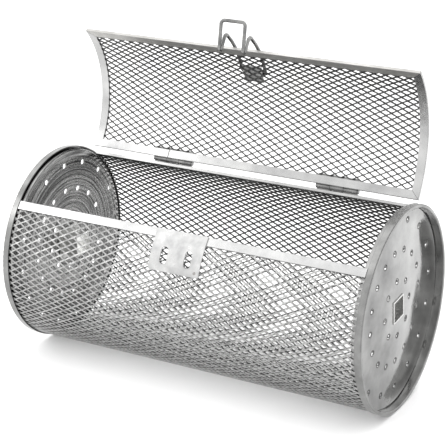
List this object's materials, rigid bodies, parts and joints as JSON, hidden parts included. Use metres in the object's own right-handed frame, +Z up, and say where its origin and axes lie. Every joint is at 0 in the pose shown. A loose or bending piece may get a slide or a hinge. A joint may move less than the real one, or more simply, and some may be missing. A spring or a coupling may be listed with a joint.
{
  "type": "rotisserie basket",
  "caption": "Rotisserie drum basket of expanded metal with dished perforated ends, square spit sockets, a hinged curved lid and a spring wire latch.",
  "frame": {"origin": "on the drum's axis, halfway between the end rims, where the spit bar's centre lies", "axes": "+X along the drum towards the right end, +Y to the back where the lid is hinged, +Z up with the lid swung open"},
  "size_m": [0.292, 0.15, 0.2623],
  "materials": {
    "expanded_metal": "satin stainless steel, cut edges",
    "polished_disc": "mirror polished stainless steel with faint spinning rings",
    "trim_sheet": "bright rolled stainless steel",
    "hinge_sheet": "satin stainless steel",
    "wire": "bright drawn stainless steel wire"
  },
  "bodies": {
    "drum": {"drum_mesh": "expanded_metal", "front_trim": "trim_sheet", "rear_trim": "trim_sheet", "left_end_rim": "trim_sheet", "right_end_rim": "trim_sheet", "left_end_disc": "polished_disc", "right_end_disc": "polished_disc", "left_spit_socket": "trim_sheet", "right_spit_socket": "trim_sheet", "catch_plate": "trim_sheet", "left_drum_leaf": "hinge_sheet", "right_drum_leaf": "hinge_sheet", "left_hinge_pin": "wire", "right_hinge_pin": "wire"},
    "lid": {"lid_mesh": "expanded_metal", "lid_front_trim": "trim_sheet", "lid_hinge_trim": "trim_sheet", "lid_left_trim": "trim_sheet", "lid_right_trim": "trim_sheet", "left_lid_leaf": "hinge_sheet", "right_lid_leaf": "hinge_sheet", "latch_base": "trim_sheet", "latch_saddle": "trim_sheet"},
    "latch": {"latch_wire": "wire"}
  },
  "joints": [
    {"name": "lid_hinge", "type": "hinge", "parent": "drum", "child": "lid", "pos_m": [0, 0.04039, 0.06591], "axis": [1, 0, 0], "range_deg": [0, 94.5]},
    {"name": "latch_pivot", "type": "hinge", "parent": "lid", "child": "latch", "pos_m": [0, 0.04766, 0.14196], "axis": [-1, 0, 0], "range_deg": [0, 120]}
  ]
}
